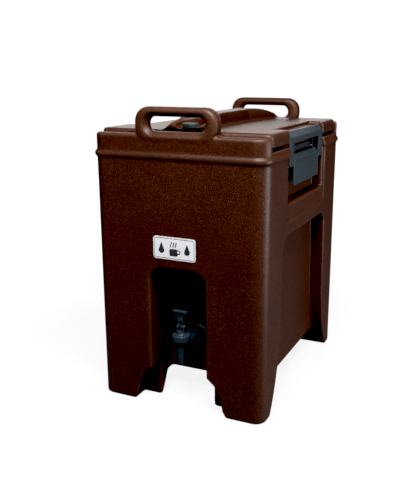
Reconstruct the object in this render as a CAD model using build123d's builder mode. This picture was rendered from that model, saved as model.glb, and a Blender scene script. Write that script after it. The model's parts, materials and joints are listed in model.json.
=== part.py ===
from build123d import *
from math import radians, tan
import os

# Insulated hot-drink dispenser: a double-walled moulded box with a lift-off lid, two wide
# draw latches and a self-closing faucet in an arched alcove. Millimetres, +Z up, the front
# faces -Y. The origin is on the floor, in the middle of the box.

# ---------------------------------------------------------------- body
base_half_x = 189.0       # at the floor; the sides flare upward by the draft
base_half_y = 253.5
draft = 0.36              # degrees
corner_r = 24.0
skin = 5.0                # moulded wall thickness
rim_z = 550.0             # side rim that the lid sits over
wall_z = 578.0            # top of the front and rear walls
wall_inner_y = 227.0
edge_r = 6.0
beyond = 300.0            # longer than anything that a cutter has to pass through

belt_z = 535.0            # raised belt round the body
belt_h = 11.0
belt_proud = 3.5

belly_z = 48.0            # underside between the four legs
leg_back_y = 208.0        # inner end of a leg at the floor, from where it curves upward
leg_curve_y, leg_curve_z = 173.2, 72.0

alcove_half_x = 63.0
alcove_z = 305.0
alcove_back_y = -160.0
alcove_r = 30.0
below = 100.0             # how far the cutters for the alcove and the gaps start under the floor

panel_x = 157.0           # floor of the deep side panel
panel_half_y = 156.0      # up to where the legs start to curve
panel_knee_z = 176.0
panel_top_half_y = 149.0
panel_z = 367.0
panel_corner = 20.0
shallow_x = 189.5         # floor of the shallow field above the rail
shallow_z = 398.0
shallow_half_y = 136.5
shallow_corner_r = 8.0
pocket_x = 165.0          # floor of the latch pocket
pocket_z = 433.0
pocket_half_y = 121.0

# stacking notch in each leg end, which clears the handles of a unit below
notch_y = 212.0
notch_half_x = 108.0
notch_z = 79.0

handle_half_x = 90.0
handle_z = 632.0
handle_foot_z = 563.0
handle_r = 29.0
grip_half_x = 63.0
grip_low_z = 584.0
grip_high_z = 613.0
grip_r = 13.5
handle_outer_y = 259.0
handle_edge_r = 9.0
grip_flare = 9.0          # the opening widens this much towards both faces

# ---------------------------------------------------------------- tank
tank_half_x = 130.0
tank_front_y = -131.0     # behind the alcove
tank_half_y = 205.0       # above the alcove, and at the rear
tank_floor_z = 108.0
tank_step_z = 335.0
tank_r = 26.0
tank_low_r = 5.0          # round the tank's floor
tank_wall = 4.0
flange_t = 3.0
flange_lap = 22.0
flange_gap = 3.0          # to the end walls

# ---------------------------------------------------------------- lid
lid_half_x = 190.0
lid_half_y = 225.3
lid_low_z = 557.0
lid_z = 585.0
lid_edge_r = 8.0
lid_corner_r = 12.0
lid_skin = 4.0
notch_floor_z = 577.0
notch_step_x = 154.0      # inner step of the hook recess
hook_slot_x = 174.9       # outboard of this the lid is cut away for the hook
hook_recess_half_y = 120.8
spine_z = 612.0
spine_half_x = 20.0
spine_flat_y = 75.0
spine_end_half_x = 45.0
spine_end_y = 221.0
spine_mid_y = 176.0       # a point on the end slope
spine_mid_z = 601.0
spine_flank_y = 190.0     # where the spine has its full end width
spine_foot_z = 562.0      # inside the lid
scoop_y = -185.0
scoop_r = 31.0
scoop_floor_z = 587.0
plug_clear = 3.0
plug_low_z = 522.0
plug_edge_r = 10.0
liner_t = 3.0
gasket_gap = 0.2
gasket_in, gasket_out = 4.0, 14.0

# ---------------------------------------------------------------- vent
bush_r = 9.0
bush_bore_r = 4.5
bush_z = 593.6
cap_r = 17.0
cap_low_z = 588.0
cap_z = 597.2
cap_dome = 3.0            # radius round the cap's top edge
cap_gap = 0.4             # round the seal and over the bush
seal_in_r = 10.0
seal_out_r = 14.0
seal_t = 3.4
seal_edge_r = 1.2
flute_r = 3.0             # finger flutes round the cap
flute_count = 12

# ---------------------------------------------------------------- latches
lever_pin_x, lever_pin_z, lever_pin_r = 179.0, 523.0, 3.0
frame_pin_x, frame_pin_z, frame_pin_r = 176.0, 511.0, 2.5
run_fit = 0.06
fine_edge = 0.6           # small broken edges on pins and bushes
frame_half_y = 118.0
frame_in_x = 185.0
frame_out_x = 189.5
frame_fold_z = 567.0      # the face bends inward here, over the lid edge
frame_z = 579.0
frame_leg_z = 508.0
frame_corner_r = 7.0
frame_eye_r = 6.1         # round the frame pin
window_half_y = 90.0
window_z = 555.0
hook_tip_x = 175.5
hook_drop = 6.0
flange_in_y = 112.0
lever_half_y = 88.0
lever_in_x = 185.0
lever_out_x = 190.0
lever_low_z = 466.0
lever_edge_r = 1.2
lever_bar_h = 5.0
lever_bar_proud = 1.2
web_in_y = 80.0
web_r = 6.6               # round the lever pin
web_low_r = 5.6           # round the frame pin
ear_gap = 0.5
pin_inset = 0.5
base_plate_t = 3.5
base_plate_half_y = 104.0
base_plate_z = 513.0
base_plate_h = 60.0
base_corner_r = 4.0
ear_in_y, ear_out_y = 68.0, 75.0
ear_r = 5.5
screw_r = 2.0
screw_places = [(-92.0, 492.0), (-92.0, 534.0), (92.0, 492.0), (92.0, 534.0)]

# ---------------------------------------------------------------- faucet
faucet_y = -239.0
shank_z = 134.0
shank_r = 11.0
shank_bore_r = 6.0
shank_end_y = -108.0
shoulder_l = 12.0
hole_reach = 60.0         # from in front of the alcove's rear wall to inside the tank
spout_low_z = 97.0
spout_low_r = 7.2
body_top_z = 152.0
body_top_r = 13.5
body_rim_h = 6.0
chamber_r = 8.0
seat_z = 126.0
outlet_r = 4.2
bonnet_r = 19.5
bonnet_edge_r = 2.0
groove_r = 1.6            # grip grooves round the ring
groove_count = 16
ring_low_z = 148.5
ring_z = 162.0
spring_room_r = 7.0
spring_top_z = 167.0
wire_r = 0.5
coil_r = 4.6
coil_turns = 4
ear_x_in, ear_x_out = 6.0, 9.0
pin_ear_r = 4.5
cheek_x, cheek_r = 5.7, 5.6
stem_lift = 4.0
stem_low_z = 130.0        # inside the seat cup
stem_collar_t = 2.0
stem_collar_z = 152.4
stem_head_x, stem_head_y = 2.0, 3.5     # half thickness and half width
stem_head_z = 184.9
slot_gap = 0.4            # play of the lever pin in the stem's slot
cup_h = 9.0
cup_edge_r = 2.0
cup_gap = 0.9
neck_r = 9.0
neck_foot = 2.5           # how far the neck widens where it meets the ring
neck_z = 171.0
pivot_z = 179.0
pivot_r = 1.6
lever_top_z = 215.5
lever_neck_x = 6.6        # half width of the lever's neck and of its paddle
lever_paddle_x = 16.4
lever_paddle_h = 8.5
lever_low = 8.0           # below the pivot
lever_fork_x = 3.0        # half width of the slot round the stem's head
lever_fork_h = 13.0
stem_r = 2.4
collar_r = 23.0
collar_flange_t = 5.0
collar_edge_r = 2.0
collar_hex_r = 20.0
collar_t = 20.0
washer_t = 3.0
outer_washer_r = 22.0
inner_washer_r = 20.0
nut_r, nut_t = 19.0, 9.0
hole_r = 11.5
sleeve_r = 15.0

# ---------------------------------------------------------------- label
label_x, label_z = -4.0, 350.5
label_w, label_h, label_r = 96.0, 47.0, 6.0
label_t = 0.8
print_t = 0.2
border_in = 2.5           # from the plate's edge to the printed border
border_w = 0.8

# foam-filling holes under the belly
plug_places = [(-60.0, 0.0), (60.0, 0.0)]
fill_r = 9.0
fill_cap_r, fill_cap_t = 13.0, 1.6

os.makedirs("parts", exist_ok=True)


def save(piece, name):
    """Label a finished sub-part and write it."""
    piece.part.label = name
    export_step(piece.part, f"parts/{name}.step")


def flare(height):
    """How far the drafted walls have moved out at a height."""
    return height * tan(radians(draft))


def notch_outline(grow):
    """Half outline of the stacking notch, from the floor to the top of the gap."""
    return [(notch_half_x + grow, -below), (notch_half_x + grow, 0), (notch_half_x - 9 + grow, 15),
            (notch_half_x - 12 + grow, 40), (81 + grow, 66), (alcove_half_x + 3, notch_z + grow)]


def belt_form():
    """A rounded slab; what stands out of the body is the raised belt."""
    proud = flare(belt_z) + belt_proud
    with BuildPart() as slab:
        with BuildSketch(Plane.XY.offset(belt_z - belt_h / 2)):
            RectangleRounded(2 * (base_half_x + proud), 2 * (base_half_y + proud),
                             corner_r + belt_proud)
        extrude(amount=belt_h)
        ends = slab.edges().group_by(Axis.Z)
        fillet(ends[0] + ends[-1], radius=belt_proud)
    return slab.part


def panel_face(inset):
    """Side outline of the deep panel between the legs, with its edges moved out by inset."""
    low_y, mid_y, top_y = leg_back_y + inset, panel_half_y + inset, panel_top_half_y + inset
    top_z = panel_z + inset
    with BuildSketch() as face:
        with BuildLine():
            Polyline((0, -below), (low_y, -below), (low_y, 0))
            ThreePointArc((low_y, 0), (leg_curve_y + inset, leg_curve_z), (mid_y, panel_knee_z))
            Polyline((mid_y, panel_knee_z), (top_y, top_z - panel_corner),
                     (top_y - panel_corner, top_z), (0, top_z), (0, -below))
        make_face()
        mirror(about=Plane.YZ)
    return face.sketch


def body_form(inset, belt=None):
    """The moulded body without its handles, with every face drawn in by inset."""
    with BuildPart() as form:
        with BuildSketch(Plane.XY.offset(inset)):
            RectangleRounded(2 * (base_half_x - inset), 2 * (base_half_y - inset), corner_r - inset)
        extrude(amount=wall_z - 2 * inset, taper=-draft)
        if belt:
            fillet(form.edges().group_by(Axis.Z)[-1], radius=edge_r)
            fillet(form.edges().group_by(Axis.Z)[0], radius=edge_r / 2)
        # room for the lid between the two end walls
        with BuildSketch(Plane.XY.offset(rim_z - inset)):
            Rectangle(2 * beyond, 2 * (wall_inner_y + inset))
        extrude(amount=beyond, mode=Mode.SUBTRACT)
        if belt:
            add(belt)
        # alcove
        with BuildSketch(Plane.XZ.offset(-alcove_back_y - inset)):
            with Locations((0, (alcove_z + inset - below) / 2)):
                RectangleRounded(2 * (alcove_half_x + inset), alcove_z + inset + below,
                                 alcove_r + inset)
        extrude(amount=beyond, mode=Mode.SUBTRACT)
        if belt:
            mouth = form.edges().filter_by(lambda e: e.center().Y < -base_half_y + 1
                                           and abs(e.center().X) < alcove_half_x + 1
                                           and 1 < e.center().Z < alcove_z + 1)
            fillet(mouth, radius=edge_r)
        # gap under the belly, and between the rear legs
        with BuildSketch(Plane.YZ):
            add(panel_face(inset))
            Rectangle(2 * beyond, 2 * (belly_z + inset), mode=Mode.INTERSECT)
        extrude(amount=beyond, both=True, mode=Mode.SUBTRACT)
        with BuildSketch(Plane.XZ):
            Rectangle(2 * (alcove_half_x + inset), 2 * (belly_z + inset))
        extrude(amount=-beyond, mode=Mode.SUBTRACT)
        # stacking notches, front and rear
        outline = notch_outline(inset)
        mirrored = [(-x, z) for x, z in reversed(outline)]
        for end in (1, -1):
            with BuildSketch(Plane.XZ.offset(end * (notch_y - inset))):
                with BuildLine():
                    Polyline(*outline, *mirrored, close=True)
                make_face()
            extrude(amount=end * beyond, mode=Mode.SUBTRACT)
        # side panels, shallow fields and latch pockets
        for side in (1, -1):
            with BuildSketch(Plane.YZ.offset(side * (panel_x - inset))):
                add(panel_face(inset))
            extrude(amount=side * beyond, mode=Mode.SUBTRACT)
            with BuildSketch(Plane.YZ.offset(side * (shallow_x - inset))):
                with Locations((0, (shallow_z + belt_z - belt_h / 2) / 2)):
                    RectangleRounded(2 * (shallow_half_y + inset),
                                     belt_z - belt_h / 2 - shallow_z + 2 * inset, shallow_corner_r)
            extrude(amount=side * beyond, mode=Mode.SUBTRACT)
            with BuildSketch(Plane.YZ.offset(side * (pocket_x - inset))):
                with Locations((0, pocket_z - inset + wall_z / 2)):
                    Rectangle(2 * (pocket_half_y + inset), wall_z)
            extrude(amount=side * beyond, mode=Mode.SUBTRACT)
    return form.part


def tank_form(grow):
    """The tank's inside, with every face moved out by grow."""
    with BuildPart() as form:
        with BuildSketch(Plane.XY.offset(tank_floor_z - grow)):
            with Locations((0, (tank_front_y + tank_half_y) / 2)):
                RectangleRounded(2 * (tank_half_x + grow), tank_half_y - tank_front_y + 2 * grow,
                                 tank_r + grow)
        extrude(amount=tank_step_z - tank_floor_z + 2 * tank_wall)
        fillet(form.edges().group_by(Axis.Z)[0], radius=tank_low_r)
        with BuildSketch(Plane.XY.offset(tank_step_z - grow)):
            RectangleRounded(2 * (tank_half_x + grow), 2 * (tank_half_y + grow), tank_r + grow)
        extrude(amount=rim_z + flange_t - tank_step_z + grow + tank_wall)
    return form.part


def lid_form(inset):
    """The lid with its spine and scoop, with every face drawn in by inset."""
    with BuildPart() as form:
        with BuildSketch(Plane.XY.offset(lid_low_z)):
            RectangleRounded(2 * (lid_half_x - inset), 2 * (lid_half_y - inset),
                             lid_corner_r - inset)
        extrude(amount=lid_z - lid_low_z - inset)
        fillet(form.edges().group_by(Axis.Z)[-1], radius=lid_edge_r - inset / 2)
        # hook recess at each side: a shallow step, then cut right through under the hook
        for side in (1, -1):
            with BuildSketch(Plane.XZ.offset(-hook_recess_half_y - inset)):
                with Locations((side * (notch_step_x - inset + beyond / 2),
                                notch_floor_z - inset + beyond / 2)):
                    Rectangle(beyond, beyond)
                with Locations((side * (hook_slot_x - inset + beyond / 2), lid_low_z)):
                    Rectangle(beyond, beyond)
            extrude(amount=2 * (hook_recess_half_y + inset), mode=Mode.SUBTRACT)
    with BuildPart() as spine:
        half_flat, half_end = spine_half_x - inset, spine_end_half_x - inset
        with BuildSketch(Plane.XY.offset(spine_foot_z)):
            with BuildLine():
                right = Polyline((half_end, -spine_end_y), (half_end, -spine_flank_y),
                                 (half_flat, -spine_flat_y), (half_flat, spine_flat_y),
                                 (half_end, spine_flank_y), (half_end, spine_end_y))
                mirror(right, about=Plane.YZ)
                Line((-half_end, -spine_end_y), (half_end, -spine_end_y))
                Line((-half_end, spine_end_y), (half_end, spine_end_y))
            make_face()
        extrude(amount=beyond)
        with BuildSketch(Plane.YZ):
            with BuildLine():
                Line((-spine_flat_y, spine_z - inset), (spine_flat_y, spine_z - inset))
                ThreePointArc((spine_flat_y, spine_z - inset), (spine_mid_y, spine_mid_z - inset),
                              (spine_end_y, lid_z - inset))
                ThreePointArc((-spine_flat_y, spine_z - inset), (-spine_mid_y, spine_mid_z - inset),
                              (-spine_end_y, lid_z - inset))
                Polyline((spine_end_y, lid_z - inset), (spine_end_y, spine_foot_z),
                         (-spine_end_y, spine_foot_z), (-spine_end_y, lid_z - inset))
            make_face()
        extrude(amount=beyond, both=True, mode=Mode.INTERSECT)
        # scoop round the vent cap
        with BuildSketch(Plane.XY.offset(scoop_floor_z - inset)):
            with Locations((0, scoop_y)):
                Circle(scoop_r + inset)
        extrude(amount=beyond, mode=Mode.SUBTRACT)
    with BuildPart() as whole:
        add(form.part)
        add(spine.part)
    return whole.part


def handle_form(end):
    """One carrying handle: a rounded loop that stands on an end wall."""
    thick = handle_outer_y - wall_inner_y
    with BuildPart() as handle:
        with BuildSketch(Plane.XZ.offset(handle_outer_y if end < 0 else -wall_inner_y)):
            with Locations((0, (handle_z + handle_foot_z) / 2)):
                RectangleRounded(2 * handle_half_x, handle_z - handle_foot_z, handle_r)
            with Locations((0, (grip_high_z + grip_low_z) / 2)):
                RectangleRounded(2 * grip_half_x, grip_high_z - grip_low_z, grip_r,
                                 mode=Mode.SUBTRACT)
        extrude(amount=-thick)
        for face in (handle.faces().sort_by(Axis.Y)[0], handle.faces().sort_by(Axis.Y)[-1]):
            chamfer(face.inner_wires().edges(), length=grip_flare)
        for face in (handle.faces().sort_by(Axis.Y)[0], handle.faces().sort_by(Axis.Y)[-1]):
            fillet(face.outer_wire().edges(), radius=handle_edge_r)
    return handle.part


# ---------------------------------------------------------------- moulded body
belt = belt_form()
outer = body_form(0, belt)
core = body_form(skin)
tank_outer = tank_form(tank_wall)
tank_inner = tank_form(0)
handles = [handle_form(end) for end in (-1, 1)]

with BuildPart() as outer_shell:
    add(outer)
    add(handles)
    add(core, mode=Mode.SUBTRACT)
    add(tank_outer, mode=Mode.SUBTRACT)
    with BuildSketch(Plane.XZ.offset(-alcove_back_y + skin)):
        with Locations((0, shank_z)):
            Circle(hole_r)
    extrude(amount=-hole_reach, mode=Mode.SUBTRACT)
    for side in (1, -1):
        with BuildSketch(Plane.YZ.offset(side * (pocket_x - skin))):
            with Locations(screw_places):
                Circle(screw_r)
        extrude(amount=side * 2 * skin, mode=Mode.SUBTRACT)
    with BuildSketch(Plane.XY.offset(belly_z - skin)):
        with Locations(plug_places):
            Circle(fill_r)
    extrude(amount=2 * skin, mode=Mode.SUBTRACT)
save(outer_shell, "outer_shell")

with BuildPart() as foam_core:
    add(core)
    add(tank_outer, mode=Mode.SUBTRACT)
    with BuildSketch(Plane.XZ.offset(-alcove_back_y + skin)):
        with Locations((0, shank_z)):
            Circle(sleeve_r)
    extrude(amount=-hole_reach, mode=Mode.SUBTRACT)
save(foam_core, "foam_core")

with BuildPart() as tank_liner:
    add(tank_outer)
    with BuildSketch(Plane.XY.offset(rim_z)):
        RectangleRounded(2 * (tank_half_x + flange_lap), 2 * (wall_inner_y - flange_gap),
                         tank_r + flange_lap)
    extrude(amount=flange_t)
    with BuildSketch(Plane.XY.offset(rim_z + flange_t)):
        Rectangle(2 * beyond, 2 * beyond)
    extrude(amount=beyond, mode=Mode.SUBTRACT)
    add(tank_inner, mode=Mode.SUBTRACT)
    with BuildSketch(Plane.XZ.offset(-alcove_back_y)):
        with Locations((0, shank_z)):
            Circle(hole_r)
    extrude(amount=-hole_reach, mode=Mode.SUBTRACT)
save(tank_liner, "tank_liner")

# ---------------------------------------------------------------- lid
lid_outer = lid_form(0)
lid_inner = lid_form(lid_skin)
lid_mid_z = lid_low_z + liner_t

with BuildPart() as plug_inner:
    with BuildSketch(Plane.XY.offset(plug_low_z + lid_skin)):
        RectangleRounded(2 * (tank_half_x - plug_clear - lid_skin),
                         2 * (tank_half_y - plug_clear - lid_skin), tank_r - plug_clear - lid_skin)
    extrude(amount=lid_mid_z - plug_low_z - lid_skin)
    fillet(plug_inner.edges().group_by(Axis.Z)[0], radius=plug_edge_r - lid_skin / 2)

with BuildPart() as lid_shell:
    add(lid_outer)
    add(lid_inner, mode=Mode.SUBTRACT)
    with BuildSketch(Plane.XY.offset(plug_low_z)):
        with Locations((0, scoop_y)):
            Circle(bush_r)
    extrude(amount=beyond, mode=Mode.SUBTRACT)
save(lid_shell, "lid_shell")

with BuildPart() as lid_liner:
    add(lid_inner)
    with BuildSketch(Plane.XY.offset(lid_mid_z)):
        Rectangle(2 * beyond, 2 * beyond)
    extrude(amount=beyond, mode=Mode.SUBTRACT)
    with BuildSketch(Plane.XY.offset(plug_low_z)):
        RectangleRounded(2 * (tank_half_x - plug_clear), 2 * (tank_half_y - plug_clear),
                         tank_r - plug_clear)
    extrude(amount=lid_mid_z - plug_low_z)
    fillet(lid_liner.edges().group_by(Axis.Z)[0], radius=plug_edge_r)
    add(plug_inner.part, mode=Mode.SUBTRACT)
    with BuildSketch(Plane.XY.offset(plug_low_z)):
        with Locations((0, scoop_y)):
            Circle(bush_r)
    extrude(amount=beyond, mode=Mode.SUBTRACT)
save(lid_liner, "lid_liner")

with BuildPart() as lid_foam:
    add(lid_inner)
    with BuildSketch(Plane.XY.offset(lid_mid_z)):
        Rectangle(2 * beyond, 2 * beyond)
    extrude(amount=-beyond, mode=Mode.SUBTRACT)
    add(plug_inner.part)
    with BuildSketch(Plane.XY.offset(plug_low_z)):
        with Locations((0, scoop_y)):
            Circle(bush_r)
    extrude(amount=beyond, mode=Mode.SUBTRACT)
save(lid_foam, "lid_foam")

with BuildPart() as lid_gasket:
    with BuildSketch(Plane.XY.offset(rim_z + flange_t + gasket_gap)):
        RectangleRounded(2 * (tank_half_x + gasket_out), 2 * (tank_half_y + gasket_out),
                         tank_r + gasket_out)
        RectangleRounded(2 * (tank_half_x + gasket_in), 2 * (tank_half_y + gasket_in),
                         tank_r + gasket_in, mode=Mode.SUBTRACT)
    extrude(amount=lid_low_z - rim_z - flange_t - gasket_gap)
save(lid_gasket, "lid_gasket")

# ---------------------------------------------------------------- vent
with BuildPart() as vent_bush:
    with BuildSketch(Plane.XY.offset(plug_low_z)):
        with Locations((0, scoop_y)):
            Circle(bush_r)
            Circle(bush_bore_r, mode=Mode.SUBTRACT)
    extrude(amount=bush_z - plug_low_z)
    chamfer(vent_bush.edges().group_by(Axis.Z)[-1], length=fine_edge)
save(vent_bush, "vent_bush")

with BuildPart() as vent_seal:
    with BuildSketch(Plane.XY.offset(scoop_floor_z)):
        with Locations((0, scoop_y)):
            Circle(seal_out_r)
            Circle(seal_in_r, mode=Mode.SUBTRACT)
    extrude(amount=seal_t)
    fillet(vent_seal.edges().group_by(Axis.Z)[-1], radius=seal_edge_r)
save(vent_seal, "vent_seal")

with BuildPart() as vent_cap:
    with BuildSketch(Plane.XY.offset(cap_low_z)):
        with Locations((0, scoop_y)):
            Circle(cap_r)
    extrude(amount=cap_z - cap_low_z)
    fillet(vent_cap.edges().group_by(Axis.Z)[-1], radius=cap_dome)
    with BuildSketch(Plane.XY.offset(cap_low_z)):
        with Locations((0, scoop_y)):
            Circle(seal_out_r + cap_gap)
    extrude(amount=seal_t + scoop_floor_z - cap_low_z + cap_gap, mode=Mode.SUBTRACT)
    with BuildSketch(Plane.XY.offset(cap_low_z)):
        with Locations((0, scoop_y)):
            Circle(bush_r + run_fit)
    extrude(amount=bush_z - cap_low_z + cap_gap, mode=Mode.SUBTRACT)
    # finger flutes round the rim
    with BuildSketch(Plane.XY.offset(cap_low_z - 1)):
        with Locations((0, scoop_y)):
            with PolarLocations(cap_r + 0.75 * flute_r, flute_count):
                Circle(flute_r)
    extrude(amount=2 * cap_r, mode=Mode.SUBTRACT)
save(vent_cap, "vent_cap")

# ---------------------------------------------------------------- latches
for side, hand in ((1, "right"), (-1, "left")):
    with BuildPart() as latch_base:
        with BuildSketch(Plane.YZ.offset(side * pocket_x)):
            with Locations((0, base_plate_z)):
                RectangleRounded(2 * base_plate_half_y, base_plate_h, base_corner_r)
            with Locations(screw_places):
                Circle(screw_r, mode=Mode.SUBTRACT)
        extrude(amount=side * base_plate_t)
        for start in (-ear_out_y, ear_in_y):
            with BuildSketch(Plane.XZ.offset(start)):
                with Locations((side * (pocket_x + lever_pin_x) / 2, lever_pin_z)):
                    Rectangle(lever_pin_x - pocket_x, 2 * ear_r - 2)
                with Locations((side * lever_pin_x, lever_pin_z)):
                    Circle(ear_r)
                    Circle(lever_pin_r, mode=Mode.SUBTRACT)
            extrude(amount=ear_out_y - ear_in_y)
    save(latch_base, f"latch_base_{hand}")

    with BuildPart() as latch_screws:
        with BuildSketch(Plane.YZ.offset(side * (pocket_x - skin))):
            with Locations(screw_places):
                Circle(screw_r)
        extrude(amount=side * (skin + base_plate_t))
        with BuildSketch(Plane.YZ.offset(side * (pocket_x + base_plate_t))):
            with Locations(screw_places):
                Circle(2 * screw_r)
        extrude(amount=side * screw_r)
        heads = latch_screws.faces().filter_by(Axis.X).sort_by(Axis.X, reverse=side > 0)[:4]
        fillet(heads.edges(), radius=2 * fine_edge)
    save(latch_screws, f"latch_screws_{hand}")

    with BuildPart() as lever_pin:
        with BuildSketch(Plane.XZ.offset(-lever_half_y + pin_inset)):
            with Locations((side * lever_pin_x, lever_pin_z)):
                Circle(lever_pin_r)
        extrude(amount=2 * (lever_half_y - pin_inset))
        chamfer(lever_pin.edges(), length=fine_edge)
    save(lever_pin, f"latch_lever_pin_{hand}")

    with BuildPart() as latch_lever:
        with BuildSketch(Plane.YZ.offset(side * lever_in_x)):
            with Locations((0, (lever_low_z + lever_pin_z) / 2)):
                RectangleRounded(2 * lever_half_y, lever_pin_z - lever_low_z, lever_edge_r)
        extrude(amount=side * (lever_out_x - lever_in_x))
        rim = latch_lever.faces().sort_by(Axis.X, reverse=side > 0)[0]
        fillet(rim.edges(), radius=lever_edge_r)
        # raised bar along the upper edge
        with BuildSketch(Plane.YZ.offset(side * lever_out_x)):
            with Locations((0, lever_pin_z - lever_edge_r - lever_bar_h / 2)):
                RectangleRounded(2 * (lever_half_y - lever_edge_r), lever_bar_h, lever_edge_r)
        extrude(amount=side * lever_bar_proud)
        # barrel round the lever pin, broken where the base's ears stand
        for start, end in ((-web_in_y, -ear_out_y - ear_gap), (-ear_in_y + ear_gap, ear_in_y - ear_gap),
                           (ear_out_y + ear_gap, web_in_y)):
            with BuildSketch(Plane.XZ.offset(start)):
                with Locations((side * lever_pin_x, lever_pin_z)):
                    Circle(web_r)
                    Circle(lever_pin_r + run_fit, mode=Mode.SUBTRACT)
            extrude(amount=end - start)
        # webs that carry both pins
        for start in (-lever_half_y, web_in_y):
            with BuildSketch(Plane.XZ.offset(start)):
                with Locations((side * lever_pin_x, lever_pin_z)):
                    Circle(web_r)
                with Locations((side * frame_pin_x, frame_pin_z)):
                    Circle(web_low_r)
                with BuildLine():
                    Polyline((side * (frame_pin_x - 5), frame_pin_z - 1),
                             (side * (lever_pin_x - 6), lever_pin_z),
                             (side * (lever_out_x - 1), lever_pin_z - 1),
                             (side * (lever_out_x - 1), frame_pin_z - 14),
                             (side * (frame_pin_x + 2), frame_pin_z - 5), close=True)
                make_face()
                with Locations((side * lever_pin_x, lever_pin_z)):
                    Circle(lever_pin_r + run_fit, mode=Mode.SUBTRACT)
                with Locations((side * frame_pin_x, frame_pin_z)):
                    Circle(frame_pin_r + run_fit, mode=Mode.SUBTRACT)
            extrude(amount=lever_half_y - web_in_y)
    save(latch_lever, f"latch_lever_{hand}")

    with BuildPart() as frame_pins:
        for start in (-frame_half_y + 2 * pin_inset, web_in_y + pin_inset):
            with BuildSketch(Plane.XZ.offset(start)):
                with Locations((side * frame_pin_x, frame_pin_z)):
                    Circle(frame_pin_r)
            extrude(amount=frame_half_y - web_in_y - 3 * pin_inset)
    save(frame_pins, f"latch_frame_pins_{hand}")

    with BuildPart() as latch_frame:
        with BuildSketch(Plane.YZ.offset(side * frame_in_x)) as face:
            with Locations((0, (frame_fold_z + frame_leg_z) / 2)):
                Rectangle(2 * frame_half_y, frame_fold_z - frame_leg_z)
            with Locations((0, window_z - beyond / 2)):
                Rectangle(2 * window_half_y, beyond, mode=Mode.SUBTRACT)
            corners = face.vertices().group_by(Axis.Z)[0].sort_by(Axis.Y)
            fillet([corners[0], corners[-1]], radius=frame_corner_r)
        extrude(amount=side * (frame_out_x - frame_in_x))
        # the bevelled top that hooks over the lid edge
        bevel = frame_z - frame_fold_z
        thick = frame_out_x - frame_in_x
        with BuildSketch(Plane.XZ.offset(-frame_half_y)):
            with BuildLine():
                Polyline((side * frame_out_x, frame_fold_z - 1), (side * frame_out_x, frame_fold_z),
                         (side * (frame_out_x - bevel), frame_z), (side * hook_tip_x, frame_z),
                         (side * hook_tip_x, frame_z - hook_drop),
                         (side * (hook_tip_x + 2), frame_z - hook_drop),
                         (side * frame_in_x, frame_fold_z - thick / 2),
                         (side * frame_in_x, frame_fold_z - 1 - thick / 2), close=True)
            make_face()
        extrude(amount=2 * frame_half_y)
        # side flanges that carry the frame pins
        for start in (-frame_half_y, flange_in_y):
            with BuildSketch(Plane.XZ.offset(start)):
                with Locations((side * frame_pin_x, frame_pin_z)):
                    Circle(frame_eye_r)
                with Locations((side * (frame_pin_x + frame_in_x) / 2, frame_pin_z + 4)):
                    Rectangle(frame_in_x - frame_pin_x + 2, 18)
                with Locations((side * frame_pin_x, frame_pin_z)):
                    Circle(frame_pin_r, mode=Mode.SUBTRACT)
            extrude(amount=frame_half_y - flange_in_y)
    save(latch_frame, f"latch_frame_{hand}")

# ---------------------------------------------------------------- faucet
faucet_axis = Axis((0, faucet_y, 0), (0, 0, 1))
faucet_front = Plane.XZ.offset(-faucet_y)

with BuildPart() as faucet_body:
    with BuildSketch(Plane.YZ):
        with BuildLine():
            Polyline((faucet_y, body_top_z), (faucet_y - body_top_r, body_top_z),
                     (faucet_y - body_top_r, body_top_z - body_rim_h),
                     (faucet_y - spout_low_r, spout_low_z), (faucet_y, spout_low_z), close=True)
        make_face()
    revolve(axis=faucet_axis)
    with BuildSketch(faucet_front):
        with Locations((0, shank_z)):
            Circle(shank_r)
    extrude(amount=faucet_y - shank_end_y)
    # shoulder where the shank leaves the body
    with BuildSketch(faucet_front):
        with Locations((0, shank_z)):
            Circle(shank_r + 1.5)
    extrude(amount=-body_top_r - shoulder_l)
    with BuildSketch(Plane.XY.offset(seat_z)):
        with Locations((0, faucet_y)):
            Circle(chamber_r)
    extrude(amount=beyond, mode=Mode.SUBTRACT)
    with BuildSketch(Plane.XY.offset(spout_low_z)):
        with Locations((0, faucet_y)):
            Circle(outlet_r)
    extrude(amount=beyond, mode=Mode.SUBTRACT)
    with BuildSketch(faucet_front):
        with Locations((0, shank_z)):
            Circle(shank_bore_r)
    extrude(amount=faucet_y - shank_end_y, mode=Mode.SUBTRACT)
save(faucet_body, "faucet_body")

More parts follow.
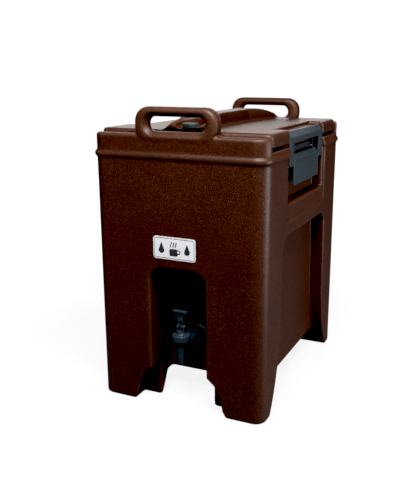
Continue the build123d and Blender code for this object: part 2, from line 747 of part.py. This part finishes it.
with BuildPart() as faucet_bonnet:
    with BuildSketch(faucet_front):
        with BuildLine():
            Polyline((0, ring_low_z), (bonnet_r, ring_low_z), (bonnet_r, ring_z),
                     (neck_r + neck_foot, ring_z + neck_foot / 2),
                     (neck_r, ring_z + 2 * neck_foot), (neck_r, neck_z),
                     (0, neck_z), (0, ring_low_z))
        make_face()
    revolve(axis=faucet_axis)
    fillet(faucet_bonnet.edges().filter_by(GeomType.CIRCLE).filter_by(
        lambda e: abs(e.radius - bonnet_r) < 0.01), radius=bonnet_edge_r)
    # grip grooves round the ring
    with BuildSketch(Plane.XY.offset(ring_low_z)):
        with Locations((0, faucet_y)):
            with PolarLocations(bonnet_r + groove_r / 4, groove_count):
                Circle(groove_r)
    extrude(amount=ring_z - ring_low_z + neck_foot, mode=Mode.SUBTRACT)
    # ears for the lever pin
    for start in (-ear_x_out, ear_x_in):
        with BuildSketch(Plane.YZ.offset(start)):
            with Locations((faucet_y, (neck_z + pivot_z) / 2 - 1)):
                Rectangle(2 * pin_ear_r, pivot_z - neck_z + 2)
            with Locations((faucet_y, pivot_z)):
                Circle(pin_ear_r)
                Circle(pivot_r, mode=Mode.SUBTRACT)
        extrude(amount=ear_x_out - ear_x_in)
    # thread socket, spring chamber and stem bore
    for radius, low, high in ((body_top_r, ring_low_z - 1, body_top_z),
                              (spring_room_r, body_top_z - 1, spring_top_z),
                              (stem_r + run_fit, body_top_z, neck_z + 1)):
        with BuildSketch(Plane.XY.offset(low)):
            with Locations((0, faucet_y)):
                Circle(radius)
        extrude(amount=high - low, mode=Mode.SUBTRACT)
save(faucet_bonnet, "faucet_bonnet")

with BuildPart() as valve_stem:
    with BuildSketch(Plane.XY.offset(stem_low_z)):
        with Locations((0, faucet_y)):
            Circle(stem_r)
    extrude(amount=neck_z + 1 - stem_low_z)
    with BuildSketch(Plane.XY.offset(stem_collar_z)):
        with Locations((0, faucet_y)):
            Circle(spring_room_r - cup_gap)
    extrude(amount=stem_collar_t)
    # flat head with a slot round the lever pin
    with BuildSketch(Plane.YZ.offset(-stem_head_x)):
        with Locations((faucet_y, (neck_z + stem_head_z) / 2)):
            RectangleRounded(2 * stem_head_y, stem_head_z - neck_z, 2 * fine_edge)
        with Locations((faucet_y, pivot_z - stem_lift / 2)):
            SlotCenterToCenter(stem_lift, 2 * pivot_r + slot_gap, rotation=90, mode=Mode.SUBTRACT)
    extrude(amount=2 * stem_head_x)
save(valve_stem, "valve_stem")

with BuildPart() as seat_cup:
    with BuildSketch(Plane.XY.offset(seat_z)):
        with Locations((0, faucet_y)):
            Circle(chamber_r - cup_gap)
    extrude(amount=cup_h)
    fillet(seat_cup.edges().group_by(Axis.Z)[0], radius=cup_edge_r)
    with BuildSketch(Plane.XY.offset(stem_low_z)):
        with Locations((0, faucet_y)):
            Circle(stem_r)
    extrude(amount=cup_h, mode=Mode.SUBTRACT)
save(seat_cup, "seat_cup")

with BuildPart() as stem_seal:
    with BuildSketch(Plane.XY.offset(body_top_z - washer_t)):
        with Locations((0, faucet_y)):
            Circle(chamber_r)
            Circle(stem_r + run_fit, mode=Mode.SUBTRACT)
    extrude(amount=washer_t)
save(stem_seal, "stem_seal")

with BuildPart() as stem_spring:
    spring_low_z = stem_collar_z + stem_collar_t
    spring_height = spring_top_z - spring_low_z - 2 * wire_r
    with BuildLine(Plane(origin=(0, faucet_y, spring_low_z + wire_r))):
        coil = Helix(pitch=spring_height / coil_turns, height=spring_height, radius=coil_r)
    with BuildSketch(Plane(origin=coil @ 0, z_dir=coil % 0)):
        Circle(wire_r)
    sweep()
save(stem_spring, "stem_spring")

with BuildPart() as faucet_lever:
    with BuildSketch(faucet_front):
        with BuildLine():
            half = Polyline((0, pivot_z - lever_low), (cheek_x, pivot_z - lever_low),
                            (cheek_x, pivot_z + 7), (lever_neck_x, pivot_z + 10),
                            (lever_neck_x, pivot_z + 17))
            sweep_out = ThreePointArc(half @ 1, (9.0, pivot_z + 23.5),
                                      (lever_paddle_x, lever_top_z - lever_paddle_h))
            Polyline(sweep_out @ 1, (lever_paddle_x, lever_top_z), (0, lever_top_z))
            Line((0, lever_top_z), (0, pivot_z - lever_low))
        make_face()
        mirror(about=Plane.YZ)
    extrude(amount=bonnet_r, both=True)
    with BuildSketch(Plane.YZ):
        with Locations((faucet_y, pivot_z)):
            Circle(cheek_r)
        with BuildLine():
            Polyline((faucet_y - 4, pivot_z), (faucet_y - 3.4, pivot_z + 22),
                     (faucet_y - 7.5, lever_top_z - 2), (faucet_y - 6.5, lever_top_z),
                     (faucet_y + 1.5, lever_top_z), (faucet_y + 2.5, lever_top_z - 6),
                     (faucet_y + 3.6, pivot_z + 22), (faucet_y + 4, pivot_z), close=True)
        make_face()
    extrude(amount=beyond, both=True, mode=Mode.INTERSECT)
    with BuildSketch(Plane.YZ):
        with Locations((faucet_y, pivot_z)):
            Circle(pivot_r + run_fit)
    extrude(amount=beyond, both=True, mode=Mode.SUBTRACT)
    # slot that straddles the stem head
    with BuildSketch(faucet_front):
        with Locations((0, pivot_z)):
            Rectangle(2 * lever_fork_x, 2 * lever_fork_h)
    extrude(amount=bonnet_r, both=True, mode=Mode.SUBTRACT)
save(faucet_lever, "faucet_lever")

with BuildPart() as faucet_pin:
    with BuildSketch(Plane.YZ.offset(-ear_x_out - fine_edge)):
        with Locations((faucet_y, pivot_z)):
            Circle(pivot_r)
    extrude(amount=2 * (ear_x_out + fine_edge))
save(faucet_pin, "faucet_lever_pin")

with BuildPart() as faucet_collar:
    with BuildSketch(Plane.XZ.offset(-alcove_back_y + washer_t)):
        with Locations((0, shank_z)):
            Circle(collar_r)
    extrude(amount=collar_flange_t)
    fillet(faucet_collar.edges().sort_by(Axis.Y)[0], radius=collar_edge_r)
    with BuildSketch(Plane.XZ.offset(-alcove_back_y + washer_t)):
        with Locations((0, shank_z)):
            RegularPolygon(collar_hex_r, 6)
    extrude(amount=collar_t)
    with BuildSketch(Plane.XZ.offset(-alcove_back_y)):
        with Locations((0, shank_z)):
            Circle(shank_r)
    extrude(amount=beyond, mode=Mode.SUBTRACT)
save(faucet_collar, "faucet_collar")

for name, low_y, outer_r in (("outer_washer", alcove_back_y, outer_washer_r),
                             ("inner_washer", tank_front_y + washer_t, inner_washer_r)):
    with BuildPart() as washer:
        with BuildSketch(Plane.XZ.offset(-low_y)):
            with Locations((0, shank_z)):
                Circle(outer_r)
                Circle(shank_r, mode=Mode.SUBTRACT)
        extrude(amount=washer_t)
    save(washer, name)

with BuildPart() as inner_nut:
    with BuildSketch(Plane.XZ.offset(-tank_front_y - washer_t)):
        with Locations((0, shank_z)):
            RegularPolygon(nut_r, 6)
            Circle(shank_r, mode=Mode.SUBTRACT)
    extrude(amount=-nut_t)
save(inner_nut, "inner_nut")

with BuildPart() as wall_sleeve:
    with BuildSketch(Plane.XZ.offset(-alcove_back_y - skin)):
        with Locations((0, shank_z)):
            Circle(sleeve_r)
            Circle(hole_r, mode=Mode.SUBTRACT)
    extrude(amount=alcove_back_y + skin - tank_front_y + tank_wall)
save(wall_sleeve, "wall_sleeve")

# ---------------------------------------------------------------- belly plugs and label
with BuildPart() as foam_plugs:
    with BuildSketch(Plane.XY.offset(belly_z)):
        with Locations(plug_places):
            Circle(fill_r)
    extrude(amount=skin)
    with BuildSketch(Plane.XY.offset(belly_z - fill_cap_t)):
        with Locations(plug_places):
            Circle(fill_cap_r)
    extrude(amount=fill_cap_t)
save(foam_plugs, "foam_plugs")

label_face = Plane(origin=(label_x, -base_half_y - flare(label_z), label_z),
                   x_dir=(1, 0, 0), z_dir=(0, -1, -flare(1)))
with BuildPart() as label_plate:
    with BuildSketch(label_face):
        RectangleRounded(label_w, label_h, label_r)
    extrude(amount=label_t)
save(label_plate, "label_plate")

# printed border, and a steaming cup between two drops
with BuildPart() as label_print:
    with BuildSketch(label_face.offset(label_t)):
        for inset, mode in ((border_in, Mode.ADD), (border_in + border_w, Mode.SUBTRACT)):
            RectangleRounded(label_w - 2 * inset, label_h - 2 * inset, label_r - inset, mode=mode)
        with Locations((-1.5, -8)):
            RectangleRounded(19, 15, 4.5)
        with Locations((9.5, -6.5)):
            Circle(4.6)
            Circle(2.8, mode=Mode.SUBTRACT)
        with Locations((-7, 8), (-1.5, 8), (4, 8)):
            SlotOverall(11, 2.0, rotation=78)
        for x in (-29, 29):
            with BuildLine():
                tip, left, right = (x, 12), (x - 6.5, -4), (x + 6.5, -4)
                Line(tip, left)
                ThreePointArc(left, (x, -11), right)
                Line(right, tip)
            make_face()
    extrude(amount=print_t)
save(label_print, "label_print")
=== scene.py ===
import json
from math import cos, radians, sin

import bmesh
import bpy
import numpy as np
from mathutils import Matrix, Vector

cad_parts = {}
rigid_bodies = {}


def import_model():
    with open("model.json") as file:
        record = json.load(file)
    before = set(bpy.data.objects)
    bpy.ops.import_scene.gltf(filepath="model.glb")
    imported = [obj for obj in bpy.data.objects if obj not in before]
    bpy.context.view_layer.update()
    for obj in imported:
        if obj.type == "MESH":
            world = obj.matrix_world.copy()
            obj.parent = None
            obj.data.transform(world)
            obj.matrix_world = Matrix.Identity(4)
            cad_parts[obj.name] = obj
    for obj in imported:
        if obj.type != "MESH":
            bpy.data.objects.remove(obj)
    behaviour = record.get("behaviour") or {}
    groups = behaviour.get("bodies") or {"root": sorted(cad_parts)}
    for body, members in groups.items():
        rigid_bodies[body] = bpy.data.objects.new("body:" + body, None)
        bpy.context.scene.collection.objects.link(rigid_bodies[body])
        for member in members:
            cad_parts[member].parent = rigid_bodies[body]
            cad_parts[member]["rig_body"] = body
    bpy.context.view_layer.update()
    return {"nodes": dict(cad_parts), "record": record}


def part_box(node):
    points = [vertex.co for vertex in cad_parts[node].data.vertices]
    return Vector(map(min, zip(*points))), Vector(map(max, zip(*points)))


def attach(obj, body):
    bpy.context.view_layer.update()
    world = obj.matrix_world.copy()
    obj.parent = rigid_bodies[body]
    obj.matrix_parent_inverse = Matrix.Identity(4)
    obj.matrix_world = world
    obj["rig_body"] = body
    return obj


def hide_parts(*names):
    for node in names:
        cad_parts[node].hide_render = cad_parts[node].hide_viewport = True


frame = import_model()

NODES = frame["nodes"]
SLOT = {row["node"]: row["material_slot"] for row in frame["record"]["subparts"]}
MM = 0.001
WELD = 0.005 * MM
RELAX_WEIGHT = 0.5


# ---------------------------------------------------------------- softened mouldings
def cad_copy(node, name):
    """A CAD node's mesh as a new object, its split vertices joined again."""
    piece = NODES[node].copy()
    piece.data = NODES[node].data.copy()
    piece.parent = None
    for key in list(piece.keys()):
        del piece[key]
    piece.name = name
    piece.data.name = name
    piece.data.materials.clear()
    bpy.context.scene.collection.objects.link(piece)
    mesh = bmesh.new()
    mesh.from_mesh(piece.data)
    bmesh.ops.remove_doubles(mesh, verts=mesh.verts, dist=WELD)
    mesh.to_mesh(piece.data)
    mesh.free()
    return piece


def apply_modifiers(piece):
    """Bake a piece's modifiers into its mesh."""
    graph = bpy.context.evaluated_depsgraph_get()
    made = bpy.data.meshes.new_from_object(piece.evaluated_get(graph))
    piece.modifiers.clear()
    old, piece.data = piece.data, made
    bpy.data.meshes.remove(old)
    made.name = piece.name


def relax(piece, passes, low, high):
    """Even out a mesh: each vertex moves towards its neighbours' middle and stays in the box."""
    mesh = piece.data
    places = np.zeros(len(mesh.vertices) * 3)
    mesh.vertices.foreach_get("co", places)
    places = places.reshape(-1, 3)
    ends = np.zeros(len(mesh.edges) * 2, np.int64)
    mesh.edges.foreach_get("vertices", ends)
    a, b = ends.reshape(-1, 2).T
    count = np.bincount(a, minlength=len(places)) + np.bincount(b, minlength=len(places))
    for _ in range(passes):
        total = np.zeros_like(places)
        for axis in range(3):
            total[:, axis] = (np.bincount(a, places[b, axis], len(places))
                              + np.bincount(b, places[a, axis], len(places)))
        places += RELAX_WEIGHT * (total / np.maximum(count, 1)[:, None] - places)
    places = np.clip(places, low, high)
    mesh.vertices.foreach_set("co", places.ravel())
    mesh.update()


def soften(node, name, voxel, passes, keep):
    """A CAD moulding with every edge rounded, as a mould leaves it, standing for its node."""
    low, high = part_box(node)
    piece = cad_copy(node, name)
    remesh = piece.modifiers.new("voxels", "REMESH")
    remesh.mode = "VOXEL"
    remesh.voxel_size = voxel
    remesh.use_smooth_shade = True
    apply_modifiers(piece)
    relax(piece, passes, low, high)
    thin = piece.modifiers.new("thin", "DECIMATE")
    thin.ratio = keep
    apply_modifiers(piece)
    piece.data.shade_smooth()
    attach(piece, NODES[node]["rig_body"])
    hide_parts(node)
    return piece


# ---------------------------------------------------------------- materials
NOISE_ROUGHNESS = 0.55


def material(name, **sockets):
    """A new Principled material with the given socket values."""
    made = bpy.data.materials.new(name)
    made.use_nodes = True
    shader = made.node_tree.nodes["Principled BSDF"]
    for socket, value in sockets.items():
        shader.inputs[socket.replace("_", " ")].default_value = value
    return made, shader


def node(made, kind, **values):
    """Add a shader node; values are its input sockets by name, or by number as in_0."""
    new = made.node_tree.nodes.new(kind)
    for key, value in values.items():
        socket = int(key[3:]) if key.startswith("in_") else key.replace("_", " ")
        if isinstance(value, bpy.types.NodeSocket):
            made.node_tree.links.new(value, new.inputs[socket])
        else:
            new.inputs[socket].default_value = value
    return new


def object_place(made):
    """The point on the piece, in its own metres."""
    return node(made, "ShaderNodeTexCoord").outputs["Object"]


def noise(made, scale, detail=3.0):
    """Noise in the piece's own metres: scale is features per metre."""
    return node(made, "ShaderNodeTexNoise", Vector=object_place(made), Scale=scale, Detail=detail,
                Roughness=NOISE_ROUGHNESS).outputs["Fac"]


def ramp(made, factor, *stops):
    """A colour ramp through (position, colour) stops."""
    new = made.node_tree.nodes.new("ShaderNodeValToRGB")
    made.node_tree.links.new(factor, new.inputs["Fac"])
    stops_in = new.color_ramp.elements
    while len(stops_in) < len(stops):
        stops_in.new(0.5)
    for stop, (position, colour) in zip(stops_in, stops):
        stop.position = position
        stop.color = (*(colour if isinstance(colour, tuple) else (colour,) * 3), 1.0)
    return new.outputs["Color"]


def blend(made, factor, first, second, mode="MIX"):
    """Mix two colours."""
    new = made.node_tree.nodes.new("ShaderNodeMix")
    new.data_type = "RGBA"
    new.blend_type = mode
    for socket, value in ((0, factor), (6, first), (7, second)):
        if isinstance(value, bpy.types.NodeSocket):
            made.node_tree.links.new(value, new.inputs[socket])
        elif isinstance(value, tuple):
            new.inputs[socket].default_value = (*value, 1.0)
        else:
            new.inputs[socket].default_value = value
    return new.outputs[2]


def bump(made, shader, *layers):
    """Stack bump layers of (height, depth in metres) on the shader's normal."""
    normal = None
    for height, depth in layers:
        new = node(made, "ShaderNodeBump", Height=height, Distance=depth)
        if normal:
            made.node_tree.links.new(normal, new.inputs["Normal"])
        normal = new.outputs["Normal"]
    made.node_tree.links.new(normal, shader.inputs["Normal"])


def link(made, output, shader, socket):
    """Lead an output into one of the shader's sockets."""
    made.node_tree.links.new(output, shader.inputs[socket])


def moulded_brown(name, dark, light, fleck):
    """Rotomoulded polyethylene: mottled brown with pale flecks and an orange-peel skin."""
    made, shader = material(name, Specular_IOR_Level=0.42)
    mottle = ramp(made, noise(made, 430, 4.0), (0.38, dark), (0.62, light))
    flecks = ramp(made, noise(made, 700, 1.0), (0.62, 0.0), (0.72, 1.0))
    colour = blend(made, flecks, mottle, fleck)
    # Convex edges, found by pointiness, are lightened towards the fleck colour: partly edge wear,
    # partly a painted highlight along the edges.
    edges = node(made, "ShaderNodeNewGeometry").outputs["Pointiness"]
    worn_and_highlit = ramp(made, edges, (0.50, 0.0), (0.58, 0.55))
    colour = blend(made, worn_and_highlit, colour, fleck)
    drift = ramp(made, noise(made, 7, 2.0), (0.3, 0.86), (0.7, 1.1))
    colour = blend(made, 1.0, colour, drift, "MULTIPLY")
    link(made, colour, shader, "Base Color")
    link(made, ramp(made, noise(made, 260, 3.0), (0.3, 0.40), (0.7, 0.54)), shader, "Roughness")
    bump(made, shader, (noise(made, 55, 2.0), 0.35 * MM), (noise(made, 480, 3.0), 0.30 * MM))
    return made


def moulded_nylon(name, dark, light, rough=0.45):
    """Injection-moulded nylon with a fine spark-eroded grain."""
    made, shader = material(name, Specular_IOR_Level=0.45)
    link(made, ramp(made, noise(made, 420, 3.0), (0.35, dark), (0.7, light)), shader, "Base Color")
    link(made, ramp(made, noise(made, 180, 3.0), (0.3, rough - 0.07), (0.7, rough + 0.1)),
         shader, "Roughness")
    bump(made, shader, (noise(made, 1400, 2.0), 0.05 * MM), (noise(made, 60, 1.0), 0.08 * MM))
    return made


def rubber(name, dark, light):
    """Silicone or soft rubber with a dusty bloom."""
    made, shader = material(name, Specular_IOR_Level=0.3)
    link(made, ramp(made, noise(made, 150, 3.0), (0.35, dark), (0.7, light)), shader, "Base Color")
    link(made, ramp(made, noise(made, 90, 2.0), (0.3, 0.6), (0.7, 0.78)), shader, "Roughness")
    bump(made, shader, (noise(made, 900, 2.0), 0.04 * MM))
    return made


def brushed_steel(name):
    """Stainless steel with fine turning marks."""
    made, shader = material(name, Metallic=1.0)
    drawn = node(made, "ShaderNodeMapping", Vector=object_place(made),
                 Scale=(2500, 2500, 60)).outputs[0]
    marks = node(made, "ShaderNodeTexNoise", Vector=drawn, Scale=1.0, Detail=3.0).outputs["Fac"]
    link(made, ramp(made, marks, (0.3, (0.50, 0.50, 0.51)), (0.7, (0.68, 0.68, 0.69))),
         shader, "Base Color")
    link(made, ramp(made, marks, (0.3, 0.24), (0.7, 0.38)), shader, "Roughness")
    bump(made, shader, (marks, 0.02 * MM))
    return made


def rigid_foam(name):
    """Closed-cell polyurethane foam."""
    made, shader = material(name, Specular_IOR_Level=0.2, Roughness=0.85)
    cells = node(made, "ShaderNodeTexVoronoi", Vector=object_place(made),
                 Scale=700).outputs["Distance"]
    link(made, ramp(made, cells, (0.1, (0.55, 0.42, 0.20)), (0.6, (0.80, 0.70, 0.44))),
         shader, "Base Color")
    bump(made, shader, (cells, 0.4 * MM))
    return made


def label_film(name, dark, light, rough):
    """Satin label film, with a faint unevenness from the skin under it."""
    made, shader = material(name, Specular_IOR_Level=0.5)
    link(made, ramp(made, noise(made, 90, 3.0), (0.3, dark), (0.7, light)), shader, "Base Color")
    link(made, ramp(made, noise(made, 300, 2.0), (0.3, rough), (0.7, rough + 0.12)),
         shader, "Roughness")
    bump(made, shader, (noise(made, 200, 2.0), 0.05 * MM))
    return made


FINISH = {
    "brown_poly": moulded_brown("brown_poly", (0.030, 0.0058, 0.0022), (0.070, 0.0195, 0.0075),
                                (0.155, 0.088, 0.058)),
    "liner_poly": moulded_brown("liner_poly", (0.040, 0.012, 0.005), (0.085, 0.034, 0.016),
                                (0.16, 0.09, 0.06)),
    "slate_nylon": moulded_nylon("slate_nylon", (0.026, 0.037, 0.044), (0.044, 0.060, 0.070)),
    "faucet_black": moulded_nylon("faucet_black", (0.020, 0.032, 0.041), (0.038, 0.058, 0.072),
                                  0.38),
    "silicone": rubber("silicone", (0.50, 0.48, 0.44), (0.66, 0.64, 0.60)),
    "steel": brushed_steel("steel"),
    "foam": rigid_foam("foam"),
    "label_white": label_film("label_white", (0.93, 0.95, 0.98), (0.97, 0.98, 1.0), 0.3),
    "label_ink": label_film("label_ink", (0.02, 0.022, 0.026), (0.04, 0.043, 0.05), 0.5),
}


# ---------------------------------------------------------------- pieces
# node: the piece's name, voxel in millimetres, smoothing passes and share of the faces kept
SOFTENED = {
    "outer_shell": ("shell_moulding", 2.4, 3, 0.18),
    "lid_shell": ("lid_moulding", 2.0, 4, 0.3),
    "latch_frame_right": ("hook_moulding_right", 0.9, 2, 0.4),
    "latch_frame_left": ("hook_moulding_left", 0.9, 2, 0.4),
    "latch_lever_right": ("paddle_moulding_right", 0.9, 2, 0.4),
    "latch_lever_left": ("paddle_moulding_left", 0.9, 2, 0.4),
    "faucet_body": ("spout_moulding", 0.6, 2, 0.5),
    "faucet_bonnet": ("bonnet_moulding", 0.5, 2, 0.5),
    "faucet_lever": ("lever_moulding", 0.4, 2, 0.5),
    "faucet_collar": ("collar_moulding", 0.6, 2, 0.5),
    "vent_cap": ("cap_moulding", 0.4, 2, 0.5),
}
for cad_node, (name, voxel, passes, keep) in SOFTENED.items():
    piece = soften(cad_node, name, voxel * MM, passes, keep)
    piece.data.materials.append(FINISH[SLOT[cad_node]])

for cad_node, slot in SLOT.items():
    shown = NODES[cad_node].data
    shown.materials.clear()
    shown.materials.append(FINISH[slot])


# ---------------------------------------------------------------- stage, light and camera
WHITE = (1.0, 1.0, 1.0, 1.0)
FLOOR_HALF = 12.0
FLOOR_GREY = 0.16
FLOOR_GLOW = 0.86          # what the camera sees of the floor's own light beside the object
GLOW_NEAR, GLOW_FAR = 0.5, 1.2
WORLD_LIGHT = 0.06
WORLD_SEEN = 1.05
BLACK_LEVEL = 0.016

# place, aim, width, height in metres and power in watts
LAMPS = {
    "backdrop_light": ((-1.3, 2.6, 0.95), (0.0, 0.0, 0.6), 3.0, 1.6, 46),
    "top_light": ((0.34, -0.72, 1.38), (0.08, -0.1, 0.5), 0.9, 0.4, 27),
    "side_light": ((1.9, 0.25, 0.28), (0.19, 0.0, 0.28), 0.8, 0.45, 19),
}
CAMERA = {
    "place": (0.6129, -1.3919, 0.7017),
    "azimuth": 24.372,
    "pitch": 12.468,
    "lens": 47.71,
    "shift": (-0.0341, -0.0673),
}


def soft_box(name, place, aim, width, height, power):
    """A rectangular area light."""
    data = bpy.data.lights.new(name, "AREA")
    data.shape = "RECTANGLE"
    data.size, data.size_y = width, height
    data.energy = power
    lamp = bpy.data.objects.new(name, data)
    lamp.location = place
    lamp.rotation_euler = (Vector(aim) - Vector(place)).to_track_quat("-Z", "Y").to_euler()
    bpy.context.scene.collection.objects.link(lamp)


def make_floor():
    """A large sheet under the object; to the camera it glows, as an overexposed sweep does."""
    mesh = bpy.data.meshes.new("floor")
    half = FLOOR_HALF
    mesh.from_pydata([(-half, -half, 0), (half, -half, 0), (half, half, 0), (-half, half, 0)], [],
                     [(0, 1, 2, 3)])
    floor = bpy.data.objects.new("floor", mesh)
    bpy.context.scene.collection.objects.link(floor)
    paper, shader = material("floor_paper", Base_Color=(FLOOR_GREY, FLOOR_GREY, FLOOR_GREY, 1.0),
                             Roughness=0.9, Specular_IOR_Level=0.1)
    seen = node(paper, "ShaderNodeLightPath").outputs["Is Camera Ray"]
    reach = node(paper, "ShaderNodeVectorMath", in_0=object_place(paper))
    reach.operation = "LENGTH"
    far = node(paper, "ShaderNodeMapRange", Value=reach.outputs["Value"], From_Min=GLOW_NEAR,
               From_Max=GLOW_FAR, To_Min=FLOOR_GLOW)
    glow = node(paper, "ShaderNodeMath", in_0=seen, in_1=far.outputs[0])
    glow.operation = "MULTIPLY"
    shader.inputs["Emission Color"].default_value = WHITE
    link(paper, glow.outputs[0], shader, "Emission Strength")
    floor.data.materials.append(paper)


def make_world():
    """White to the camera, dim to the object, so that the lamps shape it."""
    world = bpy.data.worlds.new("studio")
    world.use_nodes = True
    bpy.context.scene.world = world
    nodes, links = world.node_tree.nodes, world.node_tree.links
    backdrop = nodes["Background"]
    backdrop.inputs["Color"].default_value = WHITE
    path = nodes.new("ShaderNodeLightPath")
    strength = nodes.new("ShaderNodeMapRange")
    links.new(path.outputs["Is Camera Ray"], strength.inputs["Value"])
    strength.inputs["To Min"].default_value = WORLD_LIGHT
    strength.inputs["To Max"].default_value = WORLD_SEEN
    links.new(strength.outputs[0], backdrop.inputs["Strength"])


def make_camera(place, azimuth, pitch, lens, shift):
    """The camera looks azimuth degrees from +Y towards -X and pitch degrees below level."""
    a, e = radians(azimuth), radians(pitch)
    back = Vector((sin(a) * cos(e), -cos(a) * cos(e), sin(e)))
    data = bpy.data.cameras.new("camera")
    data.lens = lens
    data.shift_x, data.shift_y = shift
    camera = bpy.data.objects.new("camera", data)
    camera.location = place
    camera.rotation_mode = "QUATERNION"
    camera.rotation_quaternion = (-back).to_track_quat("-Z", "Y")
    bpy.context.scene.collection.objects.link(camera)
    bpy.context.scene.camera = camera


make_floor()
make_world()
for lamp_name, settings in LAMPS.items():
    soft_box(lamp_name, *settings)
make_camera(**CAMERA)
view = bpy.context.scene.view_settings
view.view_transform = "Standard"
view.use_curve_mapping = True
view.curve_mapping.black_level = (BLACK_LEVEL,) * 3
view.curve_mapping.update()
